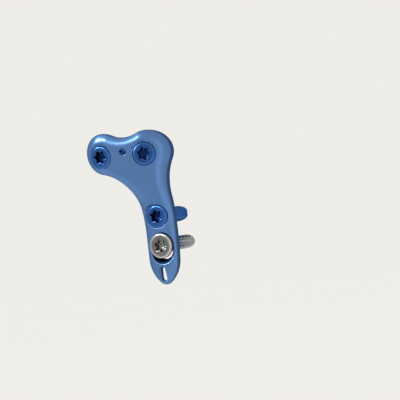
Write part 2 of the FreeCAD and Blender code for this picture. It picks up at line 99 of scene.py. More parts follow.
def face_y(radius, x, z):
    """Height of a face: at each z an arc of the given radius, whose crest slides back by an eased
    share of its shift, and whose centre moves out with the flare of the head."""
    turned = eased((z - TURN_START) / (TURN_END - TURN_START))
    crest = -CREST_SHIFT * turned
    flare = math.tan(math.radians(FLARE_DEGREES)) * np.maximum(z - TURN_START, 0.0) * turned
    centre = np.sqrt(BACK_RADIUS ** 2 - crest ** 2) - flare
    return centre - np.sqrt(radius ** 2 - (x - crest) ** 2)


def back_y(x, z):
    """The back face: the arc of the back's own radius."""
    return face_y(BACK_RADIUS, x, z)


def outer_y(x, z):
    """The outer face, one thickness out, thinned by an eased share towards the tip."""
    thinned = TIP_THINNING * eased((TIP_THIN_START - z) / TIP_THIN_LENGTH)
    return face_y(BACK_RADIUS + PLATE_THICKNESS - thinned, x, z)


def crossing(centre_a, radius_a, centre_b, radius_b, towards):
    """The crossing of two circles that lies furthest in a direction: the foot of their common
    chord, plus or minus half the chord."""
    a, b = np.array(centre_a), np.array(centre_b)
    apart = np.linalg.norm(b - a)
    along = (radius_a ** 2 - radius_b ** 2 + apart ** 2) / (2.0 * apart)
    aside = math.sqrt(radius_a ** 2 - along ** 2)
    unit = (b - a) / apart
    both = [a + along * unit + side * aside * np.array((-unit[1], unit[0])) for side in (-1, 1)]
    return max(both, key=lambda point: point @ np.array(towards))


def plate_outline():
    """The plate's rim from the front, clockwise from the armpit: points on arcs that run into each
    other at the line through their centres, with the direction into the plate at each point."""
    shaft_back = SHAFT_X - SHAFT_HALF_WIDTH
    front = (SHAFT_X + SHAFT_HALF_WIDTH - BELLY_RADIUS, BELLY_Z)
    waist = crossing(
        POSTERIOR_LOBE, POSTERIOR_LOBE_RADIUS + WAIST_RADIUS,
        ANTERIOR_LOBE, ANTERIOR_LOBE_RADIUS + WAIST_RADIUS, (0, 1),
    )
    neck_front = crossing(
        ANTERIOR_LOBE, ANTERIOR_LOBE_RADIUS + NECK_FRONT_RADIUS,
        front, BELLY_RADIUS + NECK_FRONT_RADIUS, (0, -1),
    )
    front_side = crossing(
        front, BELLY_RADIUS - TIP_SIDE_RADIUS, TIP, TIP_SIDE_RADIUS - TIP_RADIUS, (0, 1)
    )
    back_side_x = shaft_back + TIP_SIDE_RADIUS
    back_side_rise = math.sqrt((TIP_SIDE_RADIUS - TIP_RADIUS) ** 2 - (back_side_x - TIP[0]) ** 2)
    back_side = (back_side_x, TIP[1] + back_side_rise)
    neck_back = (shaft_back - NECK_BACK_RADIUS, NECK_BACK_START)
    armpit = crossing(
        neck_back, NECK_BACK_RADIUS - ARMPIT_RADIUS,
        POSTERIOR_LOBE, POSTERIOR_LOBE_RADIUS + ARMPIT_RADIUS, (1, 0),
    )
    # Each arc's centre and radius, below 0 where it is hollow, and None for the straight stretch
    arcs = [
        (POSTERIOR_LOBE, POSTERIOR_LOBE_RADIUS),
        (waist, -WAIST_RADIUS),
        (ANTERIOR_LOBE, ANTERIOR_LOBE_RADIUS),
        (neck_front, -NECK_FRONT_RADIUS),
        (front, BELLY_RADIUS),
        (front_side, TIP_SIDE_RADIUS),
        (TIP, TIP_RADIUS),
        (back_side, TIP_SIDE_RADIUS),
        None,
        (neck_back, -NECK_BACK_RADIUS),
        (armpit, -ARMPIT_RADIUS),
    ]
    joints = []
    for before, after in zip(arcs[-1:] + arcs[:-1], arcs):
        if before is None:
            joints.append(np.array((shaft_back, NECK_BACK_START)))
        elif after is None:
            joints.append(np.array((shaft_back, back_side[1])))
        else:
            gap = np.array(after[0]) - np.array(before[0])
            if before[1] * after[1] > 0 and abs(after[1]) > abs(before[1]):
                gap = -gap
            joints.append(np.array(before[0]) + gap / np.linalg.norm(gap) * abs(before[1]))
    points, inwards = [], []
    for arc, first, last in zip(arcs, joints, joints[1:] + joints[:1]):
        if arc is None:
            count = max(2, math.ceil(np.linalg.norm(last - first) / OUTLINE_STEP))
            share = (np.arange(count) / count)[:, None]
            points.append(first * (1 - share) + last * share)
            inwards.append(np.tile((1.0, 0.0), (count, 1)))
            continue
        centre, radius = np.array(arc[0]), arc[1]
        begin, end = (math.atan2(*(point - centre)[::-1]) for point in (first, last))
        turn = (end - begin + math.pi) % (2 * math.pi) - math.pi
        if radius > 0 and turn > 0:
            turn -= 2 * math.pi
        count = max(4, math.ceil(abs(turn * radius) / OUTLINE_STEP))
        angle = begin + turn * np.arange(count) / count
        out = np.column_stack((np.cos(angle), np.sin(angle)))
        points.append(centre + abs(radius) * out)
        inwards.append(-out if radius > 0 else out)
    return np.concatenate(points), np.concatenate(inwards)


def rounded(corners, steps=7):
    """A path in a plane with its corners rounded. A corner (a, b, radius) becomes an arc that
    touches both of its sides, and a corner (a, b) stays a point."""
    path = []
    for index, corner in enumerate(corners):
        here = np.array(corner[:2], dtype=float)
        if len(corner) == 2:
            path.append(here[None])
            continue
        sides = [np.array(corners[index + step][:2]) - here for step in (-1, 1)]
        to_last, to_next = directions = [side / np.linalg.norm(side) for side in sides]
        half = math.acos(to_last @ to_next) / 2
        bisector = (to_last + to_next) / np.linalg.norm(to_last + to_next)
        centre = here + bisector * corner[2] / math.sin(half)
        first, last = (here + side * corner[2] / math.tan(half) - centre for side in directions)
        swing = math.pi - 2 * half
        share = np.linspace(0.0, 1.0, steps + 1)[:, None]
        arc = np.sin((1 - share) * swing) * first + np.sin(share * swing) * last
        path.append(centre + arc / math.sin(swing))
    return np.concatenate(path)


def ring_grid(rings):
    """Vertices and four-sided faces of a closed band: an array of rings by points by 3."""
    rows, count = rings.shape[:2]
    row, column = np.meshgrid(np.arange(rows - 1), np.arange(count), indexing="ij")
    after = (column + 1) % count
    low, high = row * count, (row + 1) * count
    quads = np.stack((low + column, low + after, high + after, high + column), axis=-1)
    return rings.reshape(-1, 3), quads.reshape(-1, 4)


def inside(points, loop):
    """Whether each point is inside a closed loop: a ray to the right crosses it an odd number of
    times."""
    x, z = points[:, 0, None], points[:, 1, None]
    x1, z1 = loop[:, 0], loop[:, 1]
    x2, z2 = np.roll(x1, -1), np.roll(z1, -1)
    spans = (z1 > z) != (z2 > z)
    rise = np.where(z2 == z1, 1.0, z2 - z1)
    return ((spans & (x < x1 + (z - z1) / rise * (x2 - x1))).sum(axis=1) % 2).astype(bool)


def filled_face(rim, openings, extra, height):
    """Triangles between the rim and the openings, over their own points and the extra ones that
    lie within and keep clear of them, each point lifted to the face's height."""
    loops = [rim] + openings
    edge_points = np.concatenate(loops)
    within = inside(extra, rim)
    for opening in openings:
        within &= ~inside(extra, opening)
    extra = extra[within]
    clear = np.concatenate([
        np.linalg.norm(batch[:, None] - edge_points[None], axis=2).min(axis=1)
        for batch in np.array_split(extra, BATCHES)
    ])
    points = np.concatenate((edge_points, extra[clear > KEEP_CLEAR]))
    starts = np.cumsum([0] + [len(loop) for loop in loops])
    edges = [
        (start + index, start + (index + 1) % len(loop))
        for start, loop in zip(starts, loops)
        for index in range(len(loop))
    ]
    flat, _, triangles, _, _, _ = delaunay_2d_cdt(
        [Vector(point) for point in points], edges, [], 0, SAME_POINT
    )
    flat, triangles = np.array(flat), np.array(triangles)
    middles = flat[triangles].mean(axis=1)
    kept = inside(middles, rim)
    for opening in openings:
        kept &= ~inside(middles, opening)
    return np.column_stack((flat[:, 0], height(*flat.T), flat[:, 1])), triangles[kept]


def make_piece(name, parts, finish, crease_degrees, painted_shade_at):
    """One closed mesh from several sets of vertices and faces: their shared points are merged, faces
    turned outwards, and edges sharper than the crease angle kept sharp. Each point keeps its share
    of painted shade, from 0 for the open finish to 1 for the darkest, where shade falls."""
    mesh = bpy.data.meshes.new(name)
    vertices = np.concatenate([points for points, faces in parts]) * MM
    starts = np.cumsum([0] + [len(points) for points, faces in parts])
    faces = [
        face for start, (points, sides) in zip(starts, parts) for face in (sides + start).tolist()
    ]
    mesh.from_pydata(vertices.tolist(), [], faces)
    shape = bmesh.new()
    shape.from_mesh(mesh)
    bmesh.ops.remove_doubles(shape, verts=shape.verts, dist=MERGE_DISTANCE * MM)
    bmesh.ops.dissolve_degenerate(shape, edges=shape.edges, dist=MERGE_DISTANCE * MM)
    bmesh.ops.recalc_face_normals(shape, faces=shape.faces)
    open_edges = sum(not edge.is_manifold for edge in shape.edges)
    if open_edges:
        print(name, "has", open_edges, "open edges")
    shape.to_mesh(mesh)
    shape.free()
    places = np.empty(3 * len(mesh.vertices))
    mesh.vertices.foreach_get("co", places)
    # Painted shade: a share per point that darkens the finish where shade falls, in place of real
    # shade
    painted_shade = mesh.attributes.new("painted_shade", "FLOAT", "POINT")
    painted_shade.data.foreach_set("value", painted_shade_at(places.reshape(-1, 3) / MM))
    mesh.polygons.foreach_set("use_smooth", np.ones(len(mesh.polygons), dtype=bool))
    mesh.set_sharp_from_angle(angle=math.radians(crease_degrees))
    mesh.materials.append(finish)
    piece = bpy.data.objects.new(name, mesh)
    bpy.context.scene.collection.objects.link(piece)
    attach(piece, "root")
    return piece


rim_points, rim_inwards = plate_outline()
outer_profile = rounded([
    (BEVEL_WIDTH + RUN_ON, 0.0),
    (BEVEL_WIDTH, 0.0, BEVEL_TOP_ROUND),
    (0.0, BEVEL_DEPTH, BEVEL_FOOT_ROUND),
    (0.0, BEVEL_DEPTH + RUN_ON),
])[1:-1]
foot_start = len(outer_profile) // 2
back_profile = rounded([(0.0, RUN_ON), (0.0, 0.0, BACK_EDGE_ROUND), (RUN_ON, 0.0)])[1:-1]


def rim_distance(x, z):
    """Distance to the outline: the least over its short straight steps, each measured to the
    nearest point of the step."""
    flat = np.column_stack((np.ravel(x), np.ravel(z)))
    step = np.roll(rim_points, -1, axis=0) - rim_points

    def nearest_step(batch):
        """The least distance from each point to a step: to its start, plus the held share of it."""
        away = batch[:, None] - rim_points[None]
        share = np.clip((away * step).sum(axis=2) / (step ** 2).sum(axis=1), 0.0, 1.0)
        return np.linalg.norm(away - share[..., None] * step, axis=2).min(axis=1)

    nearest = [nearest_step(batch) for batch in np.array_split(flat, BATCHES)]
    return np.concatenate(nearest).reshape(np.shape(x))


def bevelled_y(x, z):
    """The outer face with its bevel: the face, deeper near the outline by the rim's profile."""
    drop = np.interp(rim_distance(x, z), outer_profile[::-1, 0], outer_profile[::-1, 1])
    return outer_y(x, z) + drop


def carried_round(profile, height, side):
    """The rim's profile carried round the outline: each profile point lies its own distance into
    the plate from the outline, and its own depth from a face."""
    plan = rim_points[None] + profile[:, 0, None, None] * rim_inwards[None]
    x, z = plan[..., 0], plan[..., 1]
    return np.stack((x, height(x, z) + side * profile[:, 1, None], z), axis=-1)


rim_rings = np.concatenate((
    carried_round(outer_profile[foot_start:], outer_y, 1.0),
    carried_round(back_profile, back_y, -1.0),
))
bevel_rings = carried_round(outer_profile[:foot_start], outer_y, 1.0)

# The holes. Three tapered seats take the locking screws, an oblong trough takes the cortex
# screw's round head, and two small ways take guide wires. All are milled, with broken edges.
RING_STEPS = 96
LOCK_MOUTH_RADIUS, LOCK_MOUTH_DEPTH = 4.3, 0.1
LOCK_HEAD_RADIUS, LOCK_TAPER_START, LOCK_TAPER_DEGREES = 3.75, 0.7, 18.0
LOCK_LEDGE_DEPTH = 0.14
SEAT_CLEARANCE = 0.02
BROKEN_EDGE, TROUGH_EDGE = 0.11, 0.3
BALL_RADIUS, BALL_CENTRE_RISE = 4.2, 1.1
SLOT_AT, SLOT_TRAVEL, SLOT_HALF_WIDTH = (0.6, -9.3), 1.8, 2.6
WIRE_HOLE_RADIUS = 1.2
WIRE_SLOT_AT, WIRE_SLOT_LENGTH, WIRE_SLOT_HALF_WIDTH = (-0.35, -18.25), 4.7, 1.15
CUT_RISE, CUT_REACH = 1.0, 3.0
EDGE_ROWS, WALL_ROWS, TROUGH_STEPS = 5, 17, 80
FIT_ROUNDS = 10

# Each hole's place across the plate, the turn of its axis about Z and its tilt about X
POSTERIOR_HOLE = (POSTERIOR_LOBE[0] - 0.75, POSTERIOR_LOBE[1] - 0.8, 1.0, 4.0)
ANTERIOR_HOLE = (ANTERIOR_LOBE[0] - 0.8, ANTERIOR_LOBE[1] - 0.65, 17.0, 1.0)
SHAFT_HOLE = (0.0, 0.0, 0.0, 0.0)
WIRE_HOLE = (-6.95, 21.3, 9.0, 5.0)


def seat(x, z, turn_degrees=0.0, tilt_degrees=0.0):
    """Where a hole's axis meets the outer face, and its frame: the axis through the plate, and
    two directions across it, from a tilt about X and then a turn about Z."""
    turn, tilt = math.radians(turn_degrees), math.radians(tilt_degrees)
    across = np.array((math.cos(turn), math.sin(turn), 0.0))
    level = np.array((-math.sin(turn), math.cos(turn), 0.0))
    axis = level * math.cos(tilt) + np.array((0.0, 0.0, math.sin(tilt)))
    return np.array((x, outer_y(x, z), z)), axis, across, np.cross(axis, across)


SEATS = {
    "posterior": seat(*POSTERIOR_HOLE),
    "anterior": seat(*ANTERIOR_HOLE),
    "shaft": seat(*SHAFT_HOLE),
    "cortex": seat(*SLOT_AT),
    "wire": seat(*WIRE_HOLE),
}


def about_axis(place, radius, depth, angle):
    """Points round a seat's axis at a radius, a depth along it and an angle round it."""
    origin, axis, across, up = place
    return (
        origin
        + (radius * np.cos(angle))[..., None] * across
        + (radius * np.sin(angle))[..., None] * up
        + (depth + 0.0 * angle)[..., None] * axis
    )


def round_ring(place):
    """Rings round a seat's axis, for given radii and depths."""
    angle = np.linspace(0.0, 2 * math.pi, RING_STEPS, endpoint=False)
    return lambda radius, depth: about_axis(place, radius + 0.0 * angle, depth, angle)


def oblong_ring(centre, low, high):
    """Upright oblong rings square to the plate: a half circle round a high and a low end, with
    depths from the outer face at the centre."""
    half = np.linspace(0.0, math.pi, RING_STEPS // 2)
    angle = np.concatenate((half, half + math.pi))
    end = np.where(np.arange(len(angle)) < RING_STEPS // 2, high, low)
    start = outer_y(*centre)
    return lambda radius, depth: np.stack(
        (
            centre[0] + radius * np.cos(angle),
            start + depth + 0.0 * angle,
            centre[1] + end + radius * np.sin(angle),
        ),
        axis=-1,
    )


def opening(ring, path, broken=BROKEN_EDGE):
    """Rings of a hole's wall, cut by a path of radii and depths. Where the path enters the outer
    face and leaves the back face is found at every angle. The edge between them is broken by a
    quadratic curve from the face to the wall, with the sharp edge as its middle point."""
    steps = np.arange(len(path))

    def on_path(place):
        """Radius and depth at a place that is counted in steps along the path."""
        return np.interp(place, steps, path[:, 0]), np.interp(place, steps, path[:, 1])

    def first_inside(height):
        """At each angle, the place where the path goes below a face: between the last step above
        it and the first below, in proportion to their gaps."""
        points = ring(path[:, 0, None], path[:, 1, None])
        into = points[..., 1] - height(points[..., 0], points[..., 2])
        after = np.argmax(into >= 0.0, axis=0)
        column = np.arange(into.shape[1])
        gap_before, gap_after = into[after - 1, column], into[after, column]
        return after - gap_after / (gap_after - gap_before)

    enter, leave = first_inside(bevelled_y), first_inside(back_y)
    spacing = np.linalg.norm(np.diff(path, axis=0), axis=1).mean()
    edge = on_path(enter)
    wall = on_path(enter + broken / spacing)
    face_radius, face_depth = edge[0] + broken, edge[1].copy()
    for _ in range(FIT_ROUNDS):
        points = ring(face_radius, face_depth)
        face_depth -= points[..., 1] - bevelled_y(points[..., 0], points[..., 2])
    curve = np.linspace(0.0, 1.0, EDGE_ROWS)[:, None]
    radius, depth = (
        (1 - curve) ** 2 * face + 2 * curve * (1 - curve) * sharp + curve ** 2 * inner
        for face, sharp, inner in zip((face_radius, face_depth), edge, wall)
    )
    share = np.linspace(0.0, 1.0, WALL_ROWS)[1:, None]
    down = on_path((enter + broken / spacing) * (1 - share) + leave * share)
    return ring(np.vstack((radius, down[0])), np.vstack((depth, down[1])))


def even_steps(path, spacing=0.05):
    """The path again, with points at even distances along it."""
    lengths = np.concatenate(([0.0], np.cumsum(np.linalg.norm(np.diff(path, axis=0), axis=1))))
    places = np.linspace(0.0, lengths[-1], math.ceil(lengths[-1] / spacing))
    return np.column_stack([np.interp(places, lengths, path[:, axis]) for axis in (0, 1)])


taper = math.tan(math.radians(LOCK_TAPER_DEGREES))
seat_radius = LOCK_HEAD_RADIUS + SEAT_CLEARANCE / math.cos(math.radians(LOCK_TAPER_DEGREES))
hole_end = PLATE_THICKNESS + CUT_REACH
lock_path = even_steps(np.array([
    (LOCK_MOUTH_RADIUS, -CUT_RISE),
    (LOCK_MOUTH_RADIUS, LOCK_MOUTH_DEPTH),
    (seat_radius, LOCK_LEDGE_DEPTH),
    (seat_radius, LOCK_TAPER_START),
    (seat_radius - (hole_end - LOCK_TAPER_START) * taper, hole_end),
]))
walls = [opening(round_ring(SEATS[name]), lock_path) for name in ("posterior", "anterior", "shaft")]

# The trough goes down the ball's own curve to the slot, and the slot straight on to the back
trough_radius = BALL_RADIUS + SEAT_CLEARANCE
curve_end = math.acos(SLOT_HALF_WIDTH / trough_radius)
curve = np.linspace(0.0, curve_end, TROUGH_STEPS)
trough_curve = trough_radius * np.column_stack((np.cos(curve), np.sin(curve)))
trough_path = np.concatenate((
    trough_curve - (0.0, BALL_CENTRE_RISE),
    [(SLOT_HALF_WIDTH, hole_end)],
))
trough_ring = oblong_ring(SLOT_AT, -SLOT_TRAVEL, 0.0)
walls.append(opening(trough_ring, even_steps(trough_path), TROUGH_EDGE))

# The ways for the guide wires go straight through
wire_path = np.array([(WIRE_HOLE_RADIUS, -CUT_RISE), (WIRE_HOLE_RADIUS, hole_end)])
walls.append(opening(round_ring(SEATS["wire"]), even_steps(wire_path)))
wire_reach = WIRE_SLOT_LENGTH / 2 - WIRE_SLOT_HALF_WIDTH
wire_slot_path = np.array([(WIRE_SLOT_HALF_WIDTH, -CUT_RISE), (WIRE_SLOT_HALF_WIDTH, hole_end)])
wire_slot_ring = oblong_ring(WIRE_SLOT_AT, -wire_reach, wire_reach)
walls.append(opening(wire_slot_ring, even_steps(wire_slot_path)))


# All three finishes: sizes in millimetres, and how far clouds and grain change what they change
COAT_ROUGHNESS = 0.1
CLOUD_SIZE, CLOUD_CHANGE = 6.0, 0.06
GRAIN_DETAIL, GRAIN_CHANGE = 3.0, 0.05
GRAIN_STRENGTH, GRAIN_HEIGHT = 0.06, 0.01


def metal_finish(name, colour, shade_colour, grazing, roughness, coat, grain):
    """A metal with a fine grain: small random changes of its roughness and height, and slow ones of
    its colour. Its colour is also painted darker, towards a shaded colour, where the piece's own
    points hold painted shade."""
    material = bpy.data.materials.new(name)
    material.use_nodes = True
    nodes, links = material.node_tree.nodes, material.node_tree.links
    shader = nodes["Principled BSDF"]
    shader.inputs["Metallic"].default_value = 1.0
    shader.inputs["Specular Tint"].default_value = (*grazing, 1.0)
    shader.inputs["Coat Weight"].default_value = coat
    shader.inputs["Coat Roughness"].default_value = COAT_ROUGHNESS
    place = nodes.new("ShaderNodeTexCoord")
    # The points' painted shade from their attribute; the random cloud tone is added to it below, as
    # the blend's factor towards the shaded colour
    painted_shade = nodes.new("ShaderNodeAttribute")
    painted_shade.attribute_name = "painted_shade"
    clouds = nodes.new("ShaderNodeTexNoise")
    clouds.inputs["Scale"].default_value = 1.0 / (CLOUD_SIZE * MM)
    cloud_spread = nodes.new("ShaderNodeMapRange")
    cloud_spread.inputs["To Min"].default_value = -CLOUD_CHANGE
    cloud_spread.inputs["To Max"].default_value = CLOUD_CHANGE
    depth = nodes.new("ShaderNodeMath")
    blend = nodes.new("ShaderNodeMix")
    blend.data_type = "RGBA"
    blend.inputs["A"].default_value = (*colour, 1.0)
    blend.inputs["B"].default_value = (*shade_colour, 1.0)
    noise = nodes.new("ShaderNodeTexNoise")
    noise.inputs["Scale"].default_value = 1.0 / (grain * MM)
    noise.inputs["Detail"].default_value = GRAIN_DETAIL
    spread = nodes.new("ShaderNodeMapRange")
    spread.inputs["To Min"].default_value = roughness - GRAIN_CHANGE
    spread.inputs["To Max"].default_value = roughness + GRAIN_CHANGE
    bump = nodes.new("ShaderNodeBump")
    bump.inputs["Strength"].default_value = GRAIN_STRENGTH
    bump.inputs["Distance"].default_value = GRAIN_HEIGHT * MM
    links.new(place.outputs["Object"], clouds.inputs["Vector"])
    links.new(clouds.outputs["Fac"], cloud_spread.inputs["Value"])
    links.new(cloud_spread.outputs["Result"], depth.inputs[0])
    links.new(painted_shade.outputs["Fac"], depth.inputs[1])
    links.new(depth.outputs["Value"], blend.inputs["Factor"])
    links.new(blend.outputs["Result"], shader.inputs["Base Color"])
    links.new(place.outputs["Object"], noise.inputs["Vector"])
    links.new(noise.outputs["Fac"], spread.inputs["Value"])
    links.new(spread.outputs["Result"], shader.inputs["Roughness"])
    links.new(noise.outputs["Fac"], bump.inputs["Height"])
    links.new(bump.outputs["Normal"], shader.inputs["Normal"])
    return material


PLATE_BLUE = (0.092, 0.200, 0.440)
# Painted shade: a darker blue laid into the holes and on the outer wall, where shade falls
PLATE_SHADED_BLUE = (0.012, 0.031, 0.082)
PLATE_GRAZING = (0.28, 0.38, 0.58)
PLATE_ROUGHNESS, PLATE_COAT, PLATE_GRAIN = 0.24, 0.15, 0.25
# Where the painted shade eases in below the face, and its lesser share on the outer wall near the
# outline
WALL_START, WALL_EASE = 0.7, 0.7
RIM_WALL_SHADE, RIM_WALL_REACH = 0.72, 0.5


def wall_painted_shade(points):
    """The plate's painted shade: 0 on both faces and the bevel, 1 in the holes and less on the outer
    wall, eased in below the bevel and out again at the back, darkening the walls where shade falls."""
    x, y, z = points.T
    walls = np.where(rim_distance(x, z) < RIM_WALL_REACH, RIM_WALL_SHADE, 1.0)
    below_face, off_back = y - outer_y(x, z), back_y(x, z) - y
    return walls * eased((below_face - WALL_START) / WALL_EASE) * eased(off_back / BACK_EDGE_ROUND)


plate_finish = metal_finish(
    "blue_anodised_plate",
    PLATE_BLUE,
    PLATE_SHADED_BLUE,
    PLATE_GRAZING,
    PLATE_ROUGHNESS,
    PLATE_COAT,
    PLATE_GRAIN,
)
low, high = rim_points.min(axis=0), rim_points.max(axis=0)
lattice_x, lattice_z = np.meshgrid(
    np.arange(low[0], high[0], FACE_STEP), np.arange(low[1], high[1], FACE_STEP)
)
lattice_x = lattice_x + FACE_STEP / 2 * (np.arange(len(lattice_x)) % 2)[:, None]
lattice = np.column_stack((lattice_x.ravel(), lattice_z.ravel()))
lattice_distance = rim_distance(lattice[:, 0], lattice[:, 1])
flat_part = lattice[lattice_distance > outer_profile[0, 0] + FACE_STEP / 2]
plate = make_piece(
    "plate",
    [
        filled_face(
            rim_rings[0][:, (0, 2)],
            [wall[0][:, (0, 2)] for wall in walls],
            np.concatenate((bevel_rings[..., (0, 2)].reshape(-1, 2), flat_part)),
            bevelled_y,
        ),
        ring_grid(rim_rings),
        filled_face(
            rim_rings[-1][:, (0, 2)],
            [wall[-1][:, (0, 2)] for wall in walls],
            lattice[lattice_distance > FACE_STEP],
            back_y,
        ),
    ] + [ring_grid(wall) for wall in walls],
    plate_finish,
    PLATE_CREASE_DEGREES,
    wall_painted_shade,
)
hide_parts("bone_plate")

# The three locking screws: turned titanium alloy, anodised a deeper blue. Each has a rounded head
# on a taper that locks in its hole, a broached six-lobed recess, a shallow even thread and three
# cutting flutes.
SCREW_STEPS = 120
SCREW_CREASE_DEGREES = 40.0
STAR_RADIUS, STAR_LOBE_HEIGHT, STAR_LOBE_ROUND, STAR_DEPTH = 2.2, 0.62, 0.33, 2.0
LOBE_COUNT = 6
# The recess's floor: a share of the star's radius, what is added to it, and a depth below the
# floor's edge. Its lip: a distance out from the star and a depth below the top.
RECESS_FLOOR = (
    (0.0, 0.0, 0.45), (0.5, 0.0, 0.2), (0.9, 0.0, 0.0), (1.0, -0.05, -0.06), (1.0, -0.02, -0.3)
)
RECESS_LIP = ((0.0, 0.6), (0.0, 0.14), (0.04, 0.04), (0.14, 0.0))
TOP_SHARES = (0.35, 0.7, 1.0)
POINT_LENGTH, POINT_LOSS, THREAD_AT_POINT = 4.0, 0.35, 0.4
NOSE_LENGTH, NOSE_RADIUS = 1.6, 0.6
FLUTE_COUNT, FLUTE_LENGTH, FLUTE_RADIUS, FLUTE_OFFSET = 3, 5.0, 1.0, 0.25
ROWS_PER_TURN = 12
# How the painted shade eases in down the recess and on the head's seated side, where it leaves the
# flat top for the lit rim, and its share on the shank
RECESS_EASE, RECESS_MARGIN = 0.6, 0.1
SEATED_END, SEATED_EASE = 3.4, 0.5
FLAT_MARGIN, FLAT_BAND, FLAT_EASE = 0.05, 0.3, 0.5
SHANK_SHADE = 0.5


def star(angle):
    """The recess's radius round the axis: a circle's far side in each lobe, and between the lobes
    the near side of the circle that touches two of them."""
    reach, root = STAR_RADIUS - STAR_LOBE_ROUND, STAR_RADIUS - STAR_LOBE_HEIGHT
    half_pitch = math.pi / LOBE_COUNT
    across = reach * math.cos(half_pitch)
    valley = (
        (reach ** 2 + root ** 2 - 2 * across * root - STAR_LOBE_ROUND ** 2)
        / (2 * (STAR_LOBE_ROUND - root + across))
    )
    from_lobe = np.abs((angle + half_pitch) % (2 * half_pitch) - half_pitch)
    lobe = reach * np.cos(from_lobe) + np.sqrt(
        np.maximum(STAR_LOBE_ROUND ** 2 - (reach * np.sin(from_lobe)) ** 2, 0.0)
    )
    from_valley = half_pitch - from_lobe
    centre = root + valley
    hollow = centre * np.cos(from_valley) - np.sqrt(
        np.maximum(valley ** 2 - (centre * np.sin(from_valley)) ** 2, 0.0)
    )
    share = STAR_LOBE_ROUND / (STAR_LOBE_ROUND + valley)
    joint = np.array((reach, 0.0)) * (1 - share) + share * centre * np.array(
        (math.cos(half_pitch), math.sin(half_pitch))
    )
    return np.where(from_lobe < math.atan2(joint[1], joint[0]), lobe, hollow)


def recess_and_top(rise, edge_radius, star_degrees, angle):
    """Rings from the middle of the recess's floor up its wall, over its broken edge and across the
    flat top: a share of the star's radius inside, and a blend of star and circle outside."""
    outline = star(angle + math.radians(star_degrees))
    floor = STAR_DEPTH - rise
    rings = [(share * outline + out, floor + down) for share, out, down in RECESS_FLOOR]
    rings += [(outline + out, down - rise) for out, down in RECESS_LIP]
    lip = rings[-1][0]
    rings += [(lip * (1 - share) + edge_radius * share, -rise) for share in TOP_SHARES]
    radius = np.array([ring[0] for ring in rings])
    depth = np.array([ring[1] + 0.0 * angle for ring in rings])
    return radius, depth


def thread_and_point(start, length, core, crest, pitch, form, angle):
    """Rings down the thread: the core's radius plus the thread form at each point's phase along
    the helix, faded in at the neck, then lost to the point and hollowed by the flutes."""
    rows = math.ceil((length - start) / pitch * ROWS_PER_TURN)
    depth = np.linspace(start, length, rows)[:, None] + 0.0 * angle
    phase = (depth / pitch - angle / (2 * math.pi)) % 1.0
    tooth = np.interp(phase, *form)
    point = eased((length - depth) / POINT_LENGTH)
    fade = np.clip((depth - start) / pitch, 0.0, 1.0)
    outer = np.interp(
        length - depth,
        (0.0, NOSE_LENGTH, POINT_LENGTH),
        (NOSE_RADIUS, crest - POINT_LOSS, crest),
    )
    height = (crest - core) * fade * (THREAD_AT_POINT + (1 - THREAD_AT_POINT) * point)
    radius = np.minimum(core + tooth * height, outer)
    for flute in range(FLUTE_COUNT):
        away = angle - 2 * math.pi * flute / FLUTE_COUNT
        centre = crest + FLUTE_OFFSET
        half_chord = np.sqrt(np.maximum(FLUTE_RADIUS ** 2 - (centre * np.sin(away)) ** 2, 0.0))
        hollow = centre * np.cos(away) - half_chord
        cut = (half_chord > 0) & (np.cos(away) > 0) & (depth > length - FLUTE_LENGTH)
        radius = np.where(cut, np.minimum(radius, hollow), radius)
    return radius, depth


def make_screw(name, place, top, side, thread, star_degrees, finish):
    """A screw about its seat's axis. The top is its rise and its edge's radius, the shares of
    painted shade on the flat and in the recess, and the depth where the painted shade of the seated
    side starts. The side is a profile of radii and depths from the top's edge to the neck, and the
    thread a start, a length, two radii, a pitch and a form."""
    rise, edge_radius, flat_shade, recess_shade, seated_start = top
    angle = np.linspace(0.0, 2 * math.pi, SCREW_STEPS, endpoint=False)
    radius, depth = recess_and_top(rise, edge_radius, star_degrees, angle)
    thread_radius, thread_depth = thread_and_point(*thread, angle)
    around = 0.0 * angle
    radius = np.concatenate((radius, side[:, 0, None] + around, thread_radius, around[None]))
    depth = np.concatenate((depth, side[:, 1, None] + around, thread_depth, thread_depth[-1:]))
    rings = about_axis(place, radius, depth, angle + 0.0 * radius)

    def head_painted_shade(points):
        """The screw's painted shade: its own shares in the recess and on the flat top, 1 on the
        head's seated side, a share of the flat's on the shank, and 0 on the head's rim, which is
        left lit."""
        below = (points - place[0]) @ place[1]
        from_axis = np.linalg.norm(np.cross(points - place[0], place[1]), axis=1)
        broached = (from_axis < STAR_RADIUS + RECESS_MARGIN) & (below < STAR_DEPTH)
        recess = recess_shade * broached * eased((below + rise) / RECESS_EASE)
        side_start = eased((below - seated_start) / SEATED_EASE)
        seated = ~broached * side_start * eased((SEATED_END - below) / SEATED_EASE)
        off_edge = 1.0 - eased((from_axis - edge_radius + FLAT_BAND) / FLAT_EASE)
        flat_top = (below < FLAT_MARGIN - rise) * off_edge
        shank = SHANK_SHADE * eased((below - SEATED_END + SEATED_EASE) / SEATED_EASE)
        return np.maximum.reduce((recess, seated, flat_shade * flat_top, flat_shade * shank))

    return make_piece(name, [ring_grid(rings)], finish, SCREW_CREASE_DEGREES, head_painted_shade)


LOCK_HEAD_RISE, LOCK_HEAD_ROUND, LOCK_HEAD_END = 0.25, 0.75, 2.6
LOCK_THREAD_RADIUS, LOCK_CORE_RADIUS, LOCK_PITCH = 2.5, 2.15, 1.0
LOCK_FORM = ((0.0, 0.3, 0.45, 0.6, 0.9, 1.0), (0.0, 0.85, 1.0, 0.85, 0.0, 0.0))
LOCK_FOOT_ROUND, LOCK_NECK_ROUND, NECK_LENGTH = 0.2, 0.3, 0.5
# Shares of painted shade on the flat top and in the recess, and the depth where the seated side's
# painted shade starts
LOCK_FLAT_SHADE, LOCK_RECESS_SHADE, LOCK_SEATED_START = 0.5, 1.0, 0.25
SCREW_BLUE = (0.036, 0.128, 0.390)
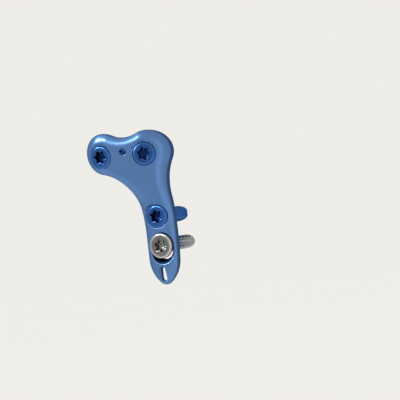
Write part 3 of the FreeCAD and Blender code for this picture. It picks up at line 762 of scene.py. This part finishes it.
# Painted shade: a darker blue for the recess, the seated side, the flat top and the shank
SCREW_SHADED_BLUE = (0.002, 0.016, 0.085)
SCREW_GRAZING = (0.20, 0.35, 0.65)
SCREW_ROUGHNESS, SCREW_COAT, SCREW_GRAIN = 0.27, 0.12, 0.15
# Each one's length, and how far its star is turned, in degrees
LOCKING_SCREWS = {"posterior": (26.0, 53.0), "anterior": (26.0, 43.0), "shaft": (18.0, 42.0)}

lock_foot = LOCK_HEAD_RADIUS - (LOCK_HEAD_END - LOCK_TAPER_START) * taper
lock_neck = LOCK_HEAD_END + lock_foot - LOCK_CORE_RADIUS
lock_side = rounded([
    (LOCK_HEAD_RADIUS - RUN_ON, -LOCK_HEAD_RISE),
    (LOCK_HEAD_RADIUS, -LOCK_HEAD_RISE, LOCK_HEAD_ROUND),
    (LOCK_HEAD_RADIUS, LOCK_TAPER_START),
    (lock_foot, LOCK_HEAD_END, LOCK_FOOT_ROUND),
    (LOCK_CORE_RADIUS, lock_neck, LOCK_NECK_ROUND),
    (LOCK_CORE_RADIUS, lock_neck + NECK_LENGTH),
])[1:]
lock_top = (
    LOCK_HEAD_RISE,
    LOCK_HEAD_RADIUS - LOCK_HEAD_ROUND,
    LOCK_FLAT_SHADE,
    LOCK_RECESS_SHADE,
    LOCK_SEATED_START,
)
lock_thread = (LOCK_CORE_RADIUS, LOCK_THREAD_RADIUS, LOCK_PITCH, LOCK_FORM)
screw_finish = metal_finish(
    "blue_anodised_screw",
    SCREW_BLUE,
    SCREW_SHADED_BLUE,
    SCREW_GRAZING,
    SCREW_ROUGHNESS,
    SCREW_COAT,
    SCREW_GRAIN,
)
for name, (length, star_degrees) in LOCKING_SCREWS.items():
    screw = make_screw(
        f"{name}_screw",
        SEATS[name],
        lock_top,
        lock_side,
        (lock_neck + NECK_LENGTH, length, *lock_thread),
        star_degrees,
        screw_finish,
    )
    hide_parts(f"{name}_locking_screw")

# The cortex screw: turned titanium alloy, bare and polished. Its head is round below and seats in
# the trough, and it has a deep buttress thread on a slender core.
CORTEX_HEAD_RADIUS, CORTEX_HEAD_RISE, CORTEX_HEAD_ROUND = 4.0, 0.85, 0.55
CORTEX_THREAD_RADIUS, CORTEX_CORE_RADIUS, CORTEX_PITCH = 2.25, 1.6, 1.75
CORTEX_FORM = ((0.0, 0.12, 0.24, 0.6, 1.0), (0.0, 1.0, 1.0, 0.0, 0.0))
CORTEX_LENGTH, CORTEX_STAR_DEGREES = 20.0, 40.0
# Shares of painted shade on the flat top and in the recess, and the depth where the seated side's
# painted shade starts
CORTEX_FLAT_SHADE, CORTEX_RECESS_SHADE, CORTEX_SEATED_START = 0.86, 0.75, -0.75
BARE_GREY = (0.49, 0.49, 0.49)
# Painted shade: a darker grey for the recess, the seated side, the flat top and the shank
BARE_SHADED_GREY = (0.110, 0.112, 0.112)
BARE_GRAZING = (0.75, 0.75, 0.75)
BARE_ROUGHNESS, BARE_COAT, BARE_GRAIN = 0.22, 0.0, 0.12
BALL_STEPS = 16

ball_share = np.linspace(0.0, 1.0, BALL_STEPS)
first_angle = math.acos(CORTEX_HEAD_RADIUS / BALL_RADIUS)
last_angle = math.acos(CORTEX_CORE_RADIUS / BALL_RADIUS)
ball_angle = first_angle * (1 - ball_share) + last_angle * ball_share
ball_curve = BALL_RADIUS * np.column_stack((np.cos(ball_angle), np.sin(ball_angle)))
ball_side = ball_curve - (0.0, BALL_CENTRE_RISE)
cortex_side = np.concatenate((
    rounded([
        (CORTEX_HEAD_RADIUS - RUN_ON, -CORTEX_HEAD_RISE),
        (CORTEX_HEAD_RADIUS, -CORTEX_HEAD_RISE, CORTEX_HEAD_ROUND),
        (CORTEX_HEAD_RADIUS, 0.0),
    ])[1:-1],
    ball_side,
    [(CORTEX_CORE_RADIUS, ball_side[-1, 1] + NECK_LENGTH)],
))
cortex_top = (
    CORTEX_HEAD_RISE,
    CORTEX_HEAD_RADIUS - CORTEX_HEAD_ROUND,
    CORTEX_FLAT_SHADE,
    CORTEX_RECESS_SHADE,
    CORTEX_SEATED_START,
)
cortex_thread = (CORTEX_CORE_RADIUS, CORTEX_THREAD_RADIUS, CORTEX_PITCH, CORTEX_FORM)
bare_finish = metal_finish(
    "bare_metal",
    BARE_GREY,
    BARE_SHADED_GREY,
    BARE_GRAZING,
    BARE_ROUGHNESS,
    BARE_COAT,
    BARE_GRAIN,
)
cortex_screw = make_screw(
    "cortex_screw_bare",
    SEATS["cortex"],
    cortex_top,
    cortex_side,
    (ball_side[-1, 1] + NECK_LENGTH, CORTEX_LENGTH, *cortex_thread),
    CORTEX_STAR_DEGREES,
    bare_finish,
)
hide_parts("cortex_screw")

# The camera: level with the plate, 29 degrees round towards its anterior side, and rolled a
# little, so that the shaft leans as it does in the photograph.
AZIMUTH = math.radians(29.0)
ROLL = math.radians(6.5)
DISTANCE = 360.0 * MM
METRES_PER_PIXEL = 0.314 * MM
FRAME_PIXELS = 400
SENSOR_MM = 36.0
NEAREST_SEEN = 0.01
SHAFT_SCREW_PIXEL = (155.9, 216.5)
SHAFT_SCREW_FACE = Vector((0.0, (outer_y(0.0, 0.0) - LOCK_HEAD_RISE) * MM, 0.0))

level_right = Vector((math.cos(AZIMUTH), math.sin(AZIMUTH), 0.0))
back = Vector((math.sin(AZIMUTH), -math.cos(AZIMUTH), 0.0))
right = level_right * math.cos(ROLL) - Vector((0, 0, 1)) * math.sin(ROLL)
up = level_right * math.sin(ROLL) + Vector((0, 0, 1)) * math.cos(ROLL)
across = (SHAFT_SCREW_PIXEL[0] - FRAME_PIXELS / 2) * METRES_PER_PIXEL
above = (FRAME_PIXELS / 2 - SHAFT_SCREW_PIXEL[1]) * METRES_PER_PIXEL
camera_data = bpy.data.cameras.new("camera")
camera_data.sensor_width = SENSOR_MM
camera_data.lens = SENSOR_MM * DISTANCE / (METRES_PER_PIXEL * FRAME_PIXELS)
camera_data.clip_start = NEAREST_SEEN
camera = bpy.data.objects.new("camera", camera_data)
camera.matrix_world = Matrix.Translation(
    SHAFT_SCREW_FACE + back * DISTANCE - right * across - up * above
) @ Matrix((right, up, back)).transposed().to_4x4()
bpy.context.scene.collection.objects.link(camera)
bpy.context.scene.camera = camera
bpy.context.scene.view_settings.view_transform = "Standard"

# The floor: a plain pale sheet below the object, wide enough to have no edge in view.
FLOOR_SIZE = 6.0
FLOOR_DROP = 260.0 * MM
PALE = (0.86, 0.845, 0.80, 1.0)

floor_mesh = bpy.data.meshes.new("floor")
half = FLOOR_SIZE / 2
floor_z = cad_box[0][2] - FLOOR_DROP
floor_corners = [(-half, -half), (half, -half), (half, half), (-half, half)]
floor_mesh.from_pydata([(x, y, floor_z) for x, y in floor_corners], [], [(0, 1, 2, 3)])
floor = bpy.data.objects.new("floor", floor_mesh)
bpy.context.scene.collection.objects.link(floor)
floor_material = bpy.data.materials.new("pale_floor")
floor_material.use_nodes = True
floor_shader = floor_material.node_tree.nodes["Principled BSDF"]
floor_shader.inputs["Base Color"].default_value = PALE
floor_shader.inputs["Roughness"].default_value = 1.0
floor_shader.inputs["Specular IOR Level"].default_value = 0.0
floor_mesh.materials.append(floor_material)

# The light: a pale room, seen by the eye and by the metal, with three soft lamps in front.
ROOM = (1.0, 1.0, 1.0, 1.0)
ROOM_STRENGTH = 1.0

world = bpy.data.worlds.new("room")
world.use_nodes = True
bpy.context.scene.world = world
nodes, links = world.node_tree.nodes, world.node_tree.links
nodes.clear()
seen = nodes.new("ShaderNodeBackground")
seen.inputs["Color"].default_value = PALE
seen.inputs["Strength"].default_value = 1.0
room = nodes.new("ShaderNodeBackground")
room.inputs["Color"].default_value = ROOM
room.inputs["Strength"].default_value = ROOM_STRENGTH
path = nodes.new("ShaderNodeLightPath")
eye_or_metal = nodes.new("ShaderNodeMath")
eye_or_metal.operation = "MAXIMUM"
eye_or_clear = nodes.new("ShaderNodeMath")
eye_or_clear.operation = "MAXIMUM"
mix = nodes.new("ShaderNodeMixShader")
output = nodes.new("ShaderNodeOutputWorld")
links.new(path.outputs["Is Camera Ray"], eye_or_metal.inputs[0])
links.new(path.outputs["Is Glossy Ray"], eye_or_metal.inputs[1])
links.new(eye_or_metal.outputs["Value"], eye_or_clear.inputs[0])
links.new(path.outputs["Is Transmission Ray"], eye_or_clear.inputs[1])
links.new(eye_or_clear.outputs["Value"], mix.inputs["Fac"])
links.new(room.outputs["Background"], mix.inputs[1])
links.new(seen.outputs["Background"], mix.inputs[2])
links.new(mix.outputs["Shader"], output.inputs["Surface"])


def soft_lamp(name, azimuth, elevation, distance, width, height, power):
    """A rectangular lamp that faces the plate's middle from a direction: azimuth 0 is straight in
    front of the plate and 90 is towards the anterior side."""
    data = bpy.data.lights.new(name, "AREA")
    data.shape = "RECTANGLE"
    data.size, data.size_y = width, height
    data.energy = power
    lamp = bpy.data.objects.new(name, data)
    a, e = math.radians(azimuth), math.radians(elevation)
    out = Vector((math.sin(a) * math.cos(e), -math.cos(a) * math.cos(e), math.sin(e)))
    lamp.location = out * distance
    lamp.rotation_euler = out.to_track_quat("Z", "Y").to_euler()
    bpy.context.scene.collection.objects.link(lamp)


# Each lamp's azimuth, elevation, distance, width, height and power: one for the long bevel, one
# for the waist between the lobes and one for the rear lobe
LAMPS = {
    "side_lamp": (34, -8, 0.4, 0.18, 0.30, 0.06),
    "top_lamp": (-20, 25, 0.5, 0.05, 0.08, 0.42),
    "lobe_lamp": (-39, 24, 0.5, 0.07, 0.08, 1.1),
}
for name, lamp in LAMPS.items():
    soft_lamp(name, *lamp)
